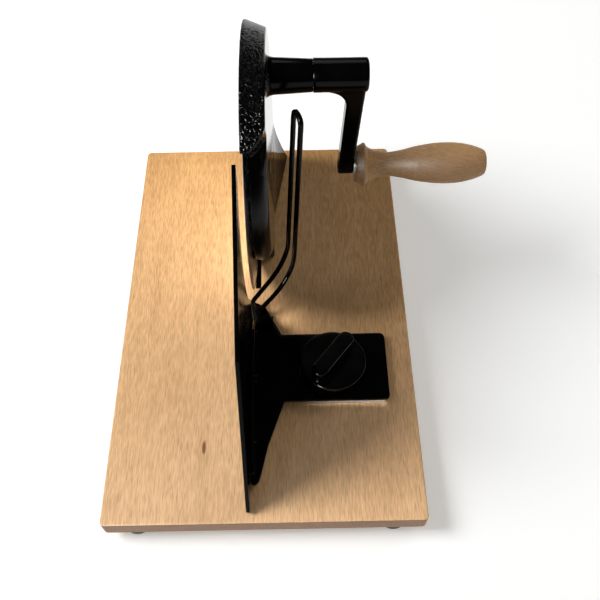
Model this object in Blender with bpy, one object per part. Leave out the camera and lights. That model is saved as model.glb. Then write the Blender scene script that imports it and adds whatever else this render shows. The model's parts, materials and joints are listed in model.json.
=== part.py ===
"""Hand-crank bread slicer on a beech board.

A round blade turns in a cast hood in the middle of the board. A crank above the blade
turns a pinion, and the pinion turns a ring gear fixed behind the blade. In front of the
blade stands a fence plate. A dial turns a small pinion in a rack that is cut in the
fence bracket's tongue, and so moves the fence across the blade: that sets how thick the
slices are.

Sizes are in millimetres, from the datum: the front left corner of the board's top face.
+X points to the crank side, +Y to the back of the board and +Z up.
"""

from math import acos, cos, hypot, pi, radians, sin, tan

import bmesh
import bpy
from mathutils import Vector

MM = 0.001
GAP = 0.3  # clearance between pieces that touch or run on each other

# Board and feet
BOARD_WIDTH, BOARD_DEPTH, BOARD_THICK, BOARD_CORNER = 220.0, 345.0, 15.0, 3.5
FOOT_RADIUS, FOOT_HEIGHT, FOOT_INSET = 11.0, 8.0, (22.0, 11.8)
SLOT_X, SLOT_Y, SLOT_DEPTH = (101.6, 105.9), (190.0, 290.0), 9.0

# Blade and hood
BLADE_RADIUS, BLADE_THICK, BLADE_X = 95.0, 1.5, 102.4
BLADE_Y, BLADE_Z = 239.0, 94.5
HOOD_X = (100.9, 117.0)
HOOD_RADIUS, COLUMN_RADIUS, HOOD_WALL = 98.3, 73.0, 3.5
RIM_X, RIM_TAPER = 102.0, 5.8
CAVITY_RADIUS = 91.5
COLUMN_X = 104.6
HOOD_BACK_Y, HOOD_FOOT_Y, PEDESTAL_Z = 338.0, 222.0, 24.2
FLARE_REACH, FLARE_HEIGHT, FLARE_FRONT_Y = 12.2, 62.0, 262.0
HOOD_BOLTS = ((109.5, 246.0), (112.0, 318.0))

# Gears
MODULE = 1.5
GEAR_TEETH, PINION_TEETH = 87, 16
AXIS_DISTANCE = MODULE * (GEAR_TEETH + PINION_TEETH) / 2
GEAR_X = (104.2, 111.2)

# Crank and its handle
CRANK_Z = BLADE_Z + AXIS_DISTANCE
BEARING_END_X, ARM_X = 147.4, (147.7, 184.0)
ARM_HALF_WIDTH = 6.5
SHAFT_RADIUS, BUSH_WALL, BOSS_RADIUS = 4.5, 1.5, 11.0
CRANK_LENGTH = 83.0
ARM_FACE_X = 178.2
GRIP_X = (179.6, 275.7)
BOLT_RADIUS = 3.0

# Fence and its bracket
FENCE_X, FENCE_THICK = 98.0, 2.5
LEG_X = (FENCE_X + FENCE_THICK + GAP, FENCE_X + FENCE_THICK + GAP + 3.0)
TONGUE_Y, TONGUE_END_X = (87.0, 142.6), 200.6
RAIL_X, RAIL_THICK = (135.0, 197.5), 2.5
RAIL_Z = (GAP, GAP + RAIL_THICK)
TONGUE_Z = (RAIL_Z[1] + GAP, RAIL_Z[1] + GAP + 3.5)
RIB_YS, RIB_HALF, RIB_HEIGHT = (96.0, 133.6), 1.5, 1.5

# Thickness dial
DIAL_X, DIAL_Y, DIAL_RADIUS = 160.0, 114.8, 24.5
DIAL_MODULE, DIAL_TEETH, DIAL_TRAVEL = 1.0, 12, 17.0
DIAL_PITCH_RADIUS = DIAL_MODULE * DIAL_TEETH / 2
DIAL_TOP_Z, DIAL_GRIP_Z, DIAL_GRIP_TURN = 15.2, 26.0, radians(52)
STUD_RADIUS, NEST_RADIUS, NEST_DEPTH = 3.5, 12.0, 9.0

# Slice deflector
WIRE_RADIUS = 2.0
WIRE_Z = TONGUE_Z[1] + GAP + WIRE_RADIUS
CLAMP_SCREW = (113.3, 151.7, 0)


# Materials

def material(name, colour, roughness, metallic=0.0):
    made = bpy.data.materials.new(name)
    made.use_nodes = True
    shader = made.node_tree.nodes["Principled BSDF"]
    shader.inputs["Base Color"].default_value = (*colour, 1.0)
    shader.inputs["Roughness"].default_value = roughness
    shader.inputs["Metallic"].default_value = metallic
    return made


# Outlines: lists of points in a plane

def arc(centre, radius, start, end, steps):
    """Points on an arc, from start to end in degrees, both included."""
    angles = [radians(start + (end - start) * i / steps) for i in range(steps + 1)]
    return [(centre[0] + radius * cos(a), centre[1] + radius * sin(a)) for a in angles]


def involute_tooth(teeth, module, thickness, addendum, dedendum):
    """Half angle of a tooth at each radius, from root to tip. Thickness is a share of the pitch.

    The flank of a tooth on a large gear is nearly straight, so root and tip are enough there.
    """
    pitch = module * teeth / 2
    base = pitch * cos(radians(20))
    root = pitch - dedendum * module
    tip = pitch + addendum * module

    def involute(radius):
        angle = acos(min(1.0, base / radius))
        return tan(angle) - angle

    at_pitch = pi * thickness / teeth
    radii = (root, max(root + 0.01, base), pitch, tip) if teeth < 40 else (root, tip)
    return [(r, at_pitch + involute(pitch) - involute(max(r, base))) for r in radii]


def gear_outline(teeth, module, thickness=0.45, addendum=0.9, dedendum=1.2, turn=0.0):
    """A spur gear's outline, with the middle of one tooth at the angle turn."""
    half = involute_tooth(teeth, module, thickness, addendum, dedendum)
    outline = []
    for tooth in range(teeth):
        middle = turn + 2 * pi * tooth / teeth
        for radius, angle in half:
            outline.append((radius * cos(middle - angle), radius * sin(middle - angle)))
        for radius, angle in reversed(half):
            outline.append((radius * cos(middle + angle), radius * sin(middle + angle)))
    return outline


def hexagon(width):
    return arc((0, 0), width / 2 / cos(radians(30)), 0, 300, 5)


# Shapes: bmesh solids

def loft(sections):
    """A solid through closed loops of equal length, capped at both ends."""
    shape = bmesh.new()
    rings = [[shape.verts.new(p) for p in section] for section in sections]
    for low, high in zip(rings, rings[1:]):
        for i in range(len(low)):
            j = (i + 1) % len(low)
            shape.faces.new((low[i], low[j], high[j], high[i]))
    shape.faces.new(reversed(rings[0]))
    shape.faces.new(rings[-1])
    sides = [face for face in shape.faces if len(face.verts) == 4]
    bmesh.ops.connect_verts_nonplanar(shape, angle_limit=radians(0.1), faces=sides)
    return shape


def prism_x(outline, low, high):
    """An outline in Y and Z, extruded along X."""
    return loft([[(x, y, z) for y, z in outline] for x in (low, high)])


def prism_y(outline, low, high):
    """An outline in X and Z, extruded along Y."""
    return loft([[(x, y, z) for x, z in outline] for y in (low, high)])


def prism_z(outline, low, high):
    """An outline in X and Y, extruded along Z."""
    return loft([[(x, y, z) for x, y in outline] for z in (low, high)])


def box(xs, ys, zs):
    return prism_z([(xs[0], ys[0]), (xs[1], ys[0]), (xs[1], ys[1]), (xs[0], ys[1])], *zs)


def turned(profile, axis="Z", steps=36):
    """A body of revolution. The profile's points are (along the axis, radius).

    A profile that starts and ends on the axis is solid; any other is closed into a ring.
    """
    shape = bmesh.new()
    rings = []
    for along, radius in profile:
        ring = []
        for i in range(steps if radius > 0 else 1):
            a = 2 * pi * i / steps
            across = (radius * cos(a), radius * sin(a))
            ring.append(shape.verts.new((along, *across) if axis == "X" else (*across, along)))
        rings.append(ring)
    pairs = list(zip(rings, rings[1:]))
    if len(rings[0]) > 1:
        pairs.append((rings[-1], rings[0]))
    for low, high in pairs:
        join_rings(shape, low, high, steps)
    return shape


def join_rings(shape, low, high, steps):
    """Faces between two rings. A flat end, from the axis outwards, becomes one round face."""
    pole, ring = (low, high) if len(low) == 1 else (high, low)
    normal_axis = 0 if ring[0].co.x == ring[1].co.x == ring[2].co.x else 2
    if len(pole) == 1 and pole[0].co[normal_axis] == ring[0].co[normal_axis]:
        shape.verts.remove(pole[0])
        shape.faces.new(ring)
        return
    for i in range(steps):
        j = (i + 1) % steps
        corners = (low[i % len(low)], low[j % len(low)], high[j % len(high)], high[i % len(high)])
        shape.faces.new(dict.fromkeys(corners))


def rod(radius, low, high, axis="Z", steps=24):
    return turned([(low, 0), (low, radius), (high, radius), (high, 0)], axis, steps)


def tube(inner, outer, low, high, axis="Z", steps=24):
    return turned([(low, inner), (low, outer), (high, outer), (high, inner)], axis, steps)


# Objects

def empty(name, at, parent=None):
    made = bpy.data.objects.new(name, None)
    made.empty_display_size = 0.02
    made.parent = parent
    made.location = Vector(at) * MM
    bpy.context.collection.objects.link(made)
    return made


def solid(name, shape, paint, parent, at=(0, 0, 0)):
    """Turns a shape in millimetres into a smooth-shaded object in metres."""
    bmesh.ops.recalc_face_normals(shape, faces=shape.faces)
    bmesh.ops.scale(shape, vec=(MM, MM, MM), verts=shape.verts)
    mesh = bpy.data.meshes.new(name)
    shape.to_mesh(mesh)
    shape.free()
    mesh.shade_smooth()
    mesh.set_sharp_from_angle(angle=radians(35))
    if paint:
        mesh.materials.append(paint)
    made = bpy.data.objects.new(name, mesh)
    made.parent = parent
    made.location = Vector(at) * MM
    bpy.context.collection.objects.link(made)
    return made


def tool(name, shape, parent, at=(0, 0, 0)):
    """A hidden shape for a Boolean."""
    made = solid(name, shape, None, parent, at)
    made.hide_render = True
    made.display_type = "WIRE"
    return made


def boolean(target, operation, *tools):
    for helper in tools:
        step = target.modifiers.new(helper.name, "BOOLEAN")
        step.operation = operation
        step.solver = "EXACT"
        step.object = helper


def ease_edges(target, width, segments=2):
    step = target.modifiers.new("eased_edges", "BEVEL")
    step.width = width * MM
    step.segments = segments
    step.limit_method = "ANGLE"
    step.angle_limit = radians(40)


# Board, feet and rail

def board_outline():
    outline = []
    for number, (x, y) in enumerate(((1, 1), (-1, 1), (-1, -1), (1, -1))):
        centre = ((x * BOARD_CORNER) % BOARD_WIDTH, (y * BOARD_CORNER) % BOARD_DEPTH)
        outline += arc(centre, BOARD_CORNER, 180 + 90 * number, 270 + 90 * number, 4)
    return outline


def make_board(paint, datum):
    board = solid("base_board", prism_z(board_outline(), -BOARD_THICK, 0), paint, datum)
    ease_edges(board, 1.4)
    cutters = [tool("cut_blade_slot", box(SLOT_X, SLOT_Y, (-SLOT_DEPTH, 2)), datum)]
    for number, (x, y) in enumerate(HOOD_BOLTS):
        hole = [(-BOARD_THICK - 1, 0), (-BOARD_THICK - 1, 6.5), (-BOARD_THICK + 6, 6.5)]
        hole += [(-BOARD_THICK + 6, 2.8), (1, 2.8), (1, 0)]
        cutters.append(tool(f"cut_hood_bolt_{number}", turned(hole, steps=20), datum, (x, y, 0)))
    nest = [(-BOARD_THICK - 1, 0), (-BOARD_THICK - 1, NEST_RADIUS), (-BOARD_THICK + NEST_DEPTH, NEST_RADIUS)]
    nest += [(-BOARD_THICK + NEST_DEPTH, STUD_RADIUS + 0.5), (1, STUD_RADIUS + 0.5), (1, 0)]
    cutters.append(tool("cut_dial_nest", turned(nest, steps=28), datum, (DIAL_X, DIAL_Y, 0)))
    for number, (x, y) in enumerate(rail_screw_places()):
        cutters.append(tool(f"cut_rail_screw_{number}", rod(1.9 + GAP, -12, 1, steps=16), datum, (x, y, 0)))
    for number, (x, y) in enumerate(foot_places()):
        hole = rod(1.9 + GAP, -BOARD_THICK - 1, -4.5, steps=16)
        cutters.append(tool(f"cut_foot_screw_{number}", hole, datum, (x, y, 0)))
    boolean(board, "DIFFERENCE", *cutters)


def foot_places():
    x, y = FOOT_INSET
    return [(x, y), (BOARD_WIDTH - x, y), (x, BOARD_DEPTH - y), (BOARD_WIDTH - x, BOARD_DEPTH - y)]


def make_feet(rubber, steel, datum):
    top = -BOARD_THICK - GAP
    bottom = -BOARD_THICK - FOOT_HEIGHT
    foot = [(bottom, 4.6), (bottom, FOOT_RADIUS - 1.4), (bottom + 1.2, FOOT_RADIUS - 0.3)]
    foot += [(bottom + 3, FOOT_RADIUS), (top, FOOT_RADIUS), (top, 2.2), (bottom + 5, 2.2), (bottom + 5, 4.6)]
    screw = [(bottom + 2.2, 0), (bottom + 2.2, 2.6), (bottom + 3, 3.6), (bottom + 4.7, 3.8)]
    screw += [(bottom + 4.7, 1.9), (-8, 1.9), (-5, 0)]
    names = ("front_left", "front_right", "rear_left", "rear_right")
    for name, (x, y) in zip(names, foot_places()):
        solid(f"rubber_foot_{name}", turned(foot, steps=28), rubber, datum, (x, y, 0))
        solid(f"foot_screw_{name}", turned(screw, steps=16), steel, datum, (x, y, 0))


def rail_screw_places():
    return [(RAIL_X[0] + 8, DIAL_Y), (RAIL_X[1] - 8, DIAL_Y)]


def make_rail(steel, datum):
    rail = solid("slide_rail", box(RAIL_X, (TONGUE_Y[0] + 0.2, TONGUE_Y[1] - 0.2), RAIL_Z), steel, datum)
    ribs = []
    for number, y in enumerate(RIB_YS):
        span = (RAIL_X[0] + 3, RAIL_X[1] - 3)
        rib = box(span, (y - RIB_HALF, y + RIB_HALF), (RAIL_Z[1] - 1, RAIL_Z[1] + RIB_HEIGHT))
        ribs.append(tool(f"add_rail_rib_{number}", rib, datum))
    boolean(rail, "UNION", *ribs)
    low, high = RAIL_Z
    cutters = [tool("cut_rail_stud", rod(STUD_RADIUS + GAP, low - 1, high + 1), datum, (DIAL_X, DIAL_Y, 0))]
    sink = [(low - 1, 0), (low - 1, 2.3), (low + 0.4, 2.3), (high + 0.2, 4.6), (high + 1, 4.6), (high + 1, 0)]
    head = [(high - 0.2, 0), (high - 0.2, 4.0), (low + 0.5, 1.9), (-9, 1.9), (-11.5, 0)]
    for number, (x, y) in enumerate(rail_screw_places()):
        cutters.append(tool(f"cut_rail_sink_{number}", turned(sink, steps=24), datum, (x, y, 0)))
        solid(f"rail_screw_{number + 1}", turned(head, steps=24), steel, datum, (x, y, 0))
    boolean(rail, "DIFFERENCE", *cutters)


# Housing

def hood_outline():
    centre = (BLADE_Y, BLADE_Z)
    outline = arc(centre, HOOD_RADIUS, 132, 4, 32)
    outline += [(HOOD_BACK_Y, BLADE_Z), (HOOD_BACK_Y - 1, -2), (HOOD_FOOT_Y, -2)]
    return outline + arc(centre, COLUMN_RADIUS, 250, 132, 30)


def cavity_outline():
    centre = (BLADE_Y, BLADE_Z)
    back = HOOD_BACK_Y - HOOD_WALL
    outline = arc(centre, CAVITY_RADIUS, 118, 6, 28)
    outline += [(back, BLADE_Z), (back, PEDESTAL_Z)]
    return outline + arc(centre, COLUMN_RADIUS - 3, 268, 118, 36)


def front_section(x):
    """The space in front of the hood at one X. The hood's lower end sweeps up to the right."""
    centre = (BLADE_Y, BLADE_Z)
    share = max(0.0, (x - RIM_X) / (HOOD_X[1] - RIM_X))
    start = 132.5 - 10.5 * share ** 2.3
    outline = arc(centre, HOOD_RADIUS + 14, start, 152, 6) + arc(centre, COLUMN_RADIUS + 0.4, 152, start, 6)
    return [(x, y, z) for y, z in outline]


def rim_section(x):
    """The space above the hood's rim at one X. The rim gets lower to the right, but not at the back."""
    centre = (BLADE_Y, BLADE_Z)
    taper = RIM_TAPER * (x - RIM_X) / (HOOD_X[1] - RIM_X)
    back, front, steps = 7.5, 136.5, 32
    section = []
    for i in range(steps + 1):
        angle = back + (front - back) * i / steps
        share = min(1.0, (angle - back) / 32)
        ease = share * share * (3 - 2 * share)
        radius = HOOD_RADIUS + 0.4 * (1 - ease) - taper * ease
        section.append((BLADE_Y + radius * cos(radians(angle)), BLADE_Z + radius * sin(radians(angle))))
    section += arc(centre, HOOD_RADIUS + 25, front, back, 16)
    return [(x, y, z) for y, z in section]


def flare_sections():
    """The skirt that widens the foot towards the back, as outlines from front to back."""
    inside = HOOD_X[1] - 2
    sections = []
    for i in range(7):
        y = FLARE_FRONT_Y + (HOOD_BACK_Y - 2 - FLARE_FRONT_Y) * i / 6
        reach = FLARE_REACH * i / 6
        outline = [(inside, y, -1), (HOOD_X[1] - 0.4 + reach, y, -1)]
        for j in range(9):
            rise = j / 8
            x = HOOD_X[1] - 1.4 + (reach + 1) * (1 - rise) ** 2
            outline.append((x, y, GAP + rise * FLARE_HEIGHT))
        outline.append((inside, y, GAP + FLARE_HEIGHT))
        sections.append(outline)
    return sections


def make_housing(paint, datum):
    housing = solid("housing", prism_x(hood_outline(), *HOOD_X), paint, datum)
    blade_axis = (0, BLADE_Y, BLADE_Z)
    crank_axis = (0, BLADE_Y, CRANK_Z)
    left, right = HOOD_X
    inner = right - HOOD_WALL
    boss = [(right - 2, 0), (right - 2, 14.4), (right + 0.6, 13.4), (right + 2.4, 12.4), (right + 5, 11.9)]
    boss += [(BEARING_END_X - 0.3, 10.5), (BEARING_END_X, 10.2), (BEARING_END_X, 0)]
    hub = rod(12.0, inner - 5, inner + 1, "X")
    front_xs = [left - 1.5] + [RIM_X + (right + 1 - RIM_X) * i / 6 for i in range(7)]
    cut = [
        tool("cut_gear_room", prism_x(cavity_outline(), left - 2, inner), datum),
        tool("cut_blade_room", rod(BLADE_RADIUS + 1.4, left - 3, COLUMN_X, "X", 96), datum, blade_axis),
        tool("cut_hood_front", loft([front_section(x) for x in front_xs]), datum),
        tool("cut_hood_rim", loft([rim_section(x) for x in (left - 1, right + 1.5)]), datum),
    ]
    boolean(housing, "DIFFERENCE", *cut)
    boolean(housing, "UNION", tool("add_bearing_boss", turned(boss, "X", 36), datum, crank_axis))
    boolean(housing, "UNION", tool("add_flare", loft(flare_sections()), datum))
    boolean(housing, "UNION", tool("add_axle_hub", hub, datum, blade_axis))
    bush = SHAFT_RADIUS + GAP + BUSH_WALL + GAP
    bores = [
        tool("cut_crank_bore", rod(bush, inner - 4, BEARING_END_X + 3, "X"), datum, crank_axis),
        tool("cut_axle_bore", rod(7.5, inner - 8, right + 3, "X"), datum, blade_axis),
    ]
    bores.append(tool("cut_foot_flat", box((60, 160), (180, 360), (-9, GAP)), datum))
    for number, (x, y) in enumerate(HOOD_BOLTS):
        bores.append(tool(f"cut_bolt_thread_{number}", rod(2.8, -2, 19, steps=20), datum, (x, y, 0)))
    boolean(housing, "DIFFERENCE", *bores)


def make_housing_fittings(steel, bronze, plastic, datum):
    seat = -BOARD_THICK + 6 - GAP
    bolt = [(seat - 5.2, 0), (seat - 5.2, 4.0), (seat - 4.6, 4.4), (seat - 1.4, 4.4)]
    bolt += [(seat - 1.4, 2.5), (15.5, 2.5), (16.3, 0)]
    for name, (x, y) in zip(("front", "rear"), HOOD_BOLTS):
        solid(f"housing_bolt_{name}", turned(bolt, steps=20), steel, datum, (x, y, 0))
        solid(f"housing_washer_{name}", tube(2.8, 5.9, seat - 1.1, seat, steps=20), steel, datum, (x, y, 0))
    crank_axis = (0, BLADE_Y, CRANK_Z)
    inner, outer = SHAFT_RADIUS + GAP, SHAFT_RADIUS + GAP + BUSH_WALL
    start = HOOD_X[1] - HOOD_WALL + GAP
    solid("crank_bush_inner", tube(inner, outer, start, start + 12, "X"), bronze, datum, crank_axis)
    solid("crank_bush_outer", tube(inner, outer, BEARING_END_X - 12, BEARING_END_X - GAP, "X"),
          bronze, datum, crank_axis)
    blade_axis = (0, BLADE_Y, BLADE_Z)
    right = HOOD_X[1]
    solid("blade_bush", tube(5.3, 7.2, right - 8.2, right - 1.6, "X"), bronze, datum, blade_axis)
    cap = [(right - 1.3, 0), (right - 1.3, 7.2), (right - 0.4, 7.2), (right - 0.2, 6.9), (right - 0.2, 0)]
    solid("axle_cap", turned(cap, "X", 30), plastic, datum, blade_axis)


# Blade

def make_blade(steel, plastic, blade_axis):
    left, right = BLADE_X, BLADE_X + BLADE_THICK
    profile = [(left, 0), (left, BLADE_RADIUS - 0.6), (left + 0.15, BLADE_RADIUS)]
    profile += [(left + 0.3, BLADE_RADIUS), (right, BLADE_RADIUS - 8), (right, 0)]
    blade = solid("blade_disc", turned(profile, "X", 120), steel, blade_axis)

    rim = gear_outline(GEAR_TEETH, MODULE, turn=pi / 2)
    gear = solid("blade_gear", prism_x(rim, *GEAR_X), plastic, blade_axis)
    recess = tube(17.0, 57.0, GEAR_X[0] + 3, GEAR_X[1] + 2, "X", 60)
    hub_face = rod(20.0, GEAR_X[0] + 3.2, GEAR_X[1] + 3, "X")
    bore = rod(5.3, GEAR_X[0] - 1, GEAR_X[1] + 1, "X")
    gear_cuts = [tool("cut_gear_web", recess, blade_axis), tool("cut_gear_hub", hub_face, blade_axis),
                 tool("cut_gear_bore", bore, blade_axis)]
    axle = [(GEAR_X[0] + 0.2, 3.3), (GEAR_X[0] + 0.2, 5.0), (HOOD_X[1] - 1.7, 5.0), (HOOD_X[1] - 1.7, 3.3)]
    solid("blade_axle", turned(axle, "X", 24), steel, blade_axis)

    screw = [(left - 2.5, 0), (left - 2.5, 8.6), (left - 1.6, 10.6), (left - GAP, 11.0), (left - GAP, 3.0)]
    screw += [(GEAR_X[0] + 6, 3.0), (GEAR_X[0] + 7, 0)]
    centre = solid("blade_screw", turned(screw, "X", 30), steel, blade_axis)
    coin_slot = box((left - 4, left - 1.6), (-14, 14), (-1.1, 1.1))
    boolean(centre, "DIFFERENCE", tool("cut_coin_slot", coin_slot, blade_axis))

    rivet = [(left - 1.3, 0), (left - 1.2, 2.4), (left - 0.7, 3.6), (left - GAP, 4.0), (left - GAP, 2.0)]
    rivet += [(GEAR_X[0] + 2.2, 2.0), (GEAR_X[0] + 2.2, 0)]
    blade_cuts = [tool("cut_blade_centre", rod(3.0 + GAP, left - 1, right + 1, "X"), blade_axis)]
    for number in range(3):
        turn = pi / 2 + 2 * pi * number / 3
        place = (0, 32 * cos(turn), 32 * sin(turn))
        solid(f"blade_rivet_{number + 1}", turned(rivet, "X", 20), steel, blade_axis, place)
        hole = rod(2.0 + GAP, left - 1, GEAR_X[0] + 2.5, "X", 20)
        blade_cuts.append(tool(f"cut_rivet_{number + 1}", hole, blade_axis, place))
    boolean(blade, "DIFFERENCE", *blade_cuts)
    boolean(gear, "DIFFERENCE", *gear_cuts, *blade_cuts[1:])


# Crank and handle

def make_crank(paint, steel, crank_axis):
    right = HOOD_X[1]
    shaft = [(GEAR_X[0] + 0.2, 0), (GEAR_X[0] + 0.2, 6.4), (GEAR_X[0] + 1.1, 6.4)]
    shaft += [(GEAR_X[0] + 1.1, SHAFT_RADIUS), (ARM_X[1] - 8, SHAFT_RADIUS), (ARM_X[1] - 8, 2.4)]
    shaft += [(ARM_X[1] - 24, 2.4), (ARM_X[1] - 24, 0)]
    solid("crank_shaft", turned(shaft, "X", 24), steel, crank_axis)

    gap_down = -pi / 2 + pi / PINION_TEETH
    pinion = solid("crank_pinion", prism_x(gear_outline(PINION_TEETH, MODULE, turn=gap_down),
                                           GEAR_X[0] + 1.4, GEAR_X[1] + 0.4), steel, crank_axis)
    bore = rod(SHAFT_RADIUS + GAP, GEAR_X[0], GEAR_X[1] + 2, "X")
    boolean(pinion, "DIFFERENCE", tool("cut_pinion_bore", bore, crank_axis))
    wall = right - HOOD_WALL
    solid("pinion_washer", tube(SHAFT_RADIUS + GAP, 8.5, wall - 1.5, wall - GAP, "X"), steel, crank_axis)

    low, high = ARM_X
    boss = [(low, 0), (low, BOSS_RADIUS - 0.3), (low + 0.3, BOSS_RADIUS), (high - 1.6, BOSS_RADIUS)]
    boss += [(high - 0.5, BOSS_RADIUS - 0.5), (high, BOSS_RADIUS - 1.6), (high, 0)]
    arm = solid("crank_arm", turned(boss, "X"), paint, crank_axis)
    fillet = 12.0
    end_face = (ARM_FACE_X - 11.6, ARM_FACE_X)
    outline = [(high - 1.0, 3), (high - 1.0, -3), (ARM_FACE_X, -CRANK_LENGTH + 8.5)]
    outline += [(ARM_FACE_X, -CRANK_LENGTH), (end_face[0], -CRANK_LENGTH)]
    outline += arc((170.0 - fillet, -BOSS_RADIUS + 0.8 - fillet), fillet, 0, 90, 6)
    outline += [(high - 26, 3)]
    web = tool("add_arm", prism_y(outline, -ARM_HALF_WIDTH, ARM_HALF_WIDTH), crank_axis)
    eye = tool("add_arm_end", rod(ARM_HALF_WIDTH, *end_face, "X"), crank_axis, (0, 0, -CRANK_LENGTH))
    for piece in (web, eye):
        ease_edges(piece, 1.4)
    boolean(arm, "UNION", web, eye)
    shaft_hole = [(low - 1, 0), (low - 1, SHAFT_RADIUS + GAP), (high - 7.6, SHAFT_RADIUS + GAP)]
    shaft_hole += [(high - 7.6, 2.7), (high - 5.4, 2.7), (high - 5.4, 5.2), (high + 1, 5.2), (high + 1, 0)]
    handle_hole = rod(BOLT_RADIUS + GAP, low, high + 3, "X", 24)
    boolean(arm, "DIFFERENCE", tool("cut_shaft_hole", turned(shaft_hole, "X", 24), crank_axis),
            tool("cut_handle_hole", handle_hole, crank_axis, (0, 0, -CRANK_LENGTH)))
    screw = [(high - 21, 0), (high - 20, 2.1), (high - 5.1, 2.1), (high - 5.1, 4.6), (high - 2.4, 4.6)]
    screw += [(high - 1.7, 3.6), (high - 1.5, 0)]
    solid("crank_screw", turned(screw, "X", 24), steel, crank_axis)


def grip_profile():
    """The turned handle: a flange by the crank, a neck, a belly and a cut end."""
    low, high = GRIP_X
    flange = [(low, 12.8), (low + 2.6, 14.4), (low + 5.6, 16.0), (low + 7.0, 15.9), (low + 8.0, 14.6)]
    neck = [(low + 10.5, 12.2), (low + 14, 10.3), (low + 18, 9.2), (low + 22.5, 8.75), (low + 28, 9.2)]
    belly = [(low + 35.4, 10.5), (low + 42.9, 12.4), (low + 50.4, 13.7), (low + 58, 14.7), (low + 65.5, 15.1),
             (low + 73, 14.95), (low + 80.5, 14.0), (low + 88, 12.2)]
    end = [(high - 3.0, 10.3), (high - 0.9, 9.1), (high, 8.0)]
    return flange + neck + belly + end


def make_handle(wood, steel, crank_axis, handle_axis):
    low, high = GRIP_X
    bore, nest = BOLT_RADIUS + 0.4, 6.2
    profile = [(low, bore)] + grip_profile() + [(high, nest), (high - 9, nest), (high - 9, bore)]
    solid("handle_grip", turned(profile, "X"), wood, handle_axis)
    arm_end = (0, 0, -CRANK_LENGTH)
    bolt = [(ARM_FACE_X - 9, 0), (ARM_FACE_X - 8.6, BOLT_RADIUS), (high - 8.6, BOLT_RADIUS)]
    bolt += [(high - 8.6, 5.4), (high - 4.2, 5.4), (high - 3.4, 4.6), (high - 3.2, 0)]
    solid("handle_bolt", turned(bolt, "X", 24), steel, crank_axis, arm_end)
    washer = tube(BOLT_RADIUS + GAP, 7.0, ARM_FACE_X + GAP, low - GAP, "X")
    solid("handle_washer", washer, steel, crank_axis, arm_end)


# Fence

def fence_outline():
    """Seen from the left: a tall plate with a hollow that clears the blade."""
    hollow = arc((228.0, 103.0), 98.0, 140.5, 219.2, 24)
    return [(7, 1.4), (8.5, GAP + 0.5), (152, GAP + 0.5)] + hollow[::-1] + [(152.4, 180), (57, 117), (6.8, 4)]


def bracket_outline():
    """Seen from above: a tapered flange along the fence, with the tongue to the right."""
    left = LEG_X[0]
    low, high = TONGUE_Y
    front = [(left, 26), (103.2, 24.2), (106.4, 26.6), (108.2, 33), (112.7, 53), (124.3, low)]
    tip = arc((TONGUE_END_X - 3, low + 3), 3, -90, 0, 3) + arc((TONGUE_END_X - 4, high - 4), 4, 0, 90, 4)
    back = [(122.3, high), (112.9, 162), (109.2, 168.8), (100, 173.6), (98.6, 172.4), (98.6, 153)]
    back += [(left, 153)]
    return front + tip + back


def rack_slot_outline():
    """The slot for the dial's pinion. Its front side is a rack."""
    pitch = pi * DIAL_MODULE
    line = DIAL_Y - DIAL_PITCH_RADIUS
    root, tip = line - 1.25 * DIAL_MODULE, line + 0.7 * DIAL_MODULE
    ends = (DIAL_X - DIAL_TRAVEL - 7.4, DIAL_X + 7.4)
    half = 0.42 * pitch / 2
    slope = tan(radians(20))
    outline = [(ends[0], root)]
    reach_root = half + (line - root) * slope
    reach_tip = half - (tip - line) * slope
    for number in range(-7, 2):
        middle = DIAL_X + (number + 0.5) * pitch
        outline += [(middle - reach_root, root), (middle - reach_tip, tip)]
        outline += [(middle + reach_tip, tip), (middle + reach_root, root)]
    far = DIAL_Y + 7.4
    return outline + [(ends[1], root), (ends[1], far), (ends[0], far)]


def make_fence(paint, fence):
    plate = solid("fence_plate", prism_x(fence_outline(), FENCE_X, FENCE_X + FENCE_THICK), paint, fence)
    bracket = solid("fence_bracket", prism_z(bracket_outline(), *TONGUE_Z), paint, fence)
    leg = [(28, TONGUE_Z[0] + 0.5), (30, 14), (62, 38), (128, 38), (144, 26), (144, TONGUE_Z[0] + 0.5)]
    boolean(bracket, "UNION", tool("add_bracket_leg", prism_x(leg, *LEG_X), fence))
    low, high = TONGUE_Z
    cuts = [tool("cut_rack_slot", prism_z(rack_slot_outline(), low - 1, high + 1), fence)]
    for number, y in enumerate(RIB_YS):
        span = (RAIL_X[0] + 3 - DIAL_TRAVEL - 0.6, RAIL_X[1] - 3 + 0.6)
        groove = box(span, (y - RIB_HALF - GAP, y + RIB_HALF + GAP), (low - 1, low + RIB_HEIGHT))
        cuts.append(tool(f"cut_rib_groove_{number}", groove, fence))
    rivet_holes = []
    left, right = FENCE_X, LEG_X[1]
    sink = [(left - 1, 0), (left - 1, 4.2), (left + 1.6, 2.3), (right + 1, 2.3), (right + 1, 0)]
    rivet = [(left + 0.2, 0), (left + 0.2, 3.0), (left + 1.3, 2.0), (right + GAP, 2.0), (right + GAP, 3.4)]
    rivet += [(right + 1.3, 2.8), (right + 1.6, 0)]
    for number, (y, z) in enumerate(((52, 18), (95, 24), (132, 24))):
        rivet_holes.append(tool(f"cut_fence_rivet_{number}", turned(sink, "X", 20), fence, (0, y, z)))
        solid(f"fence_rivet_{number + 1}", turned(rivet, "X", 20), paint, fence, (0, y, z))
    cuts.append(tool("cut_clamp_thread", rod(1.9, low - 1, high + 1, steps=16), fence, CLAMP_SCREW))
    boolean(plate, "DIFFERENCE", *rivet_holes)
    boolean(bracket, "DIFFERENCE", *cuts, *rivet_holes)


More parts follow.
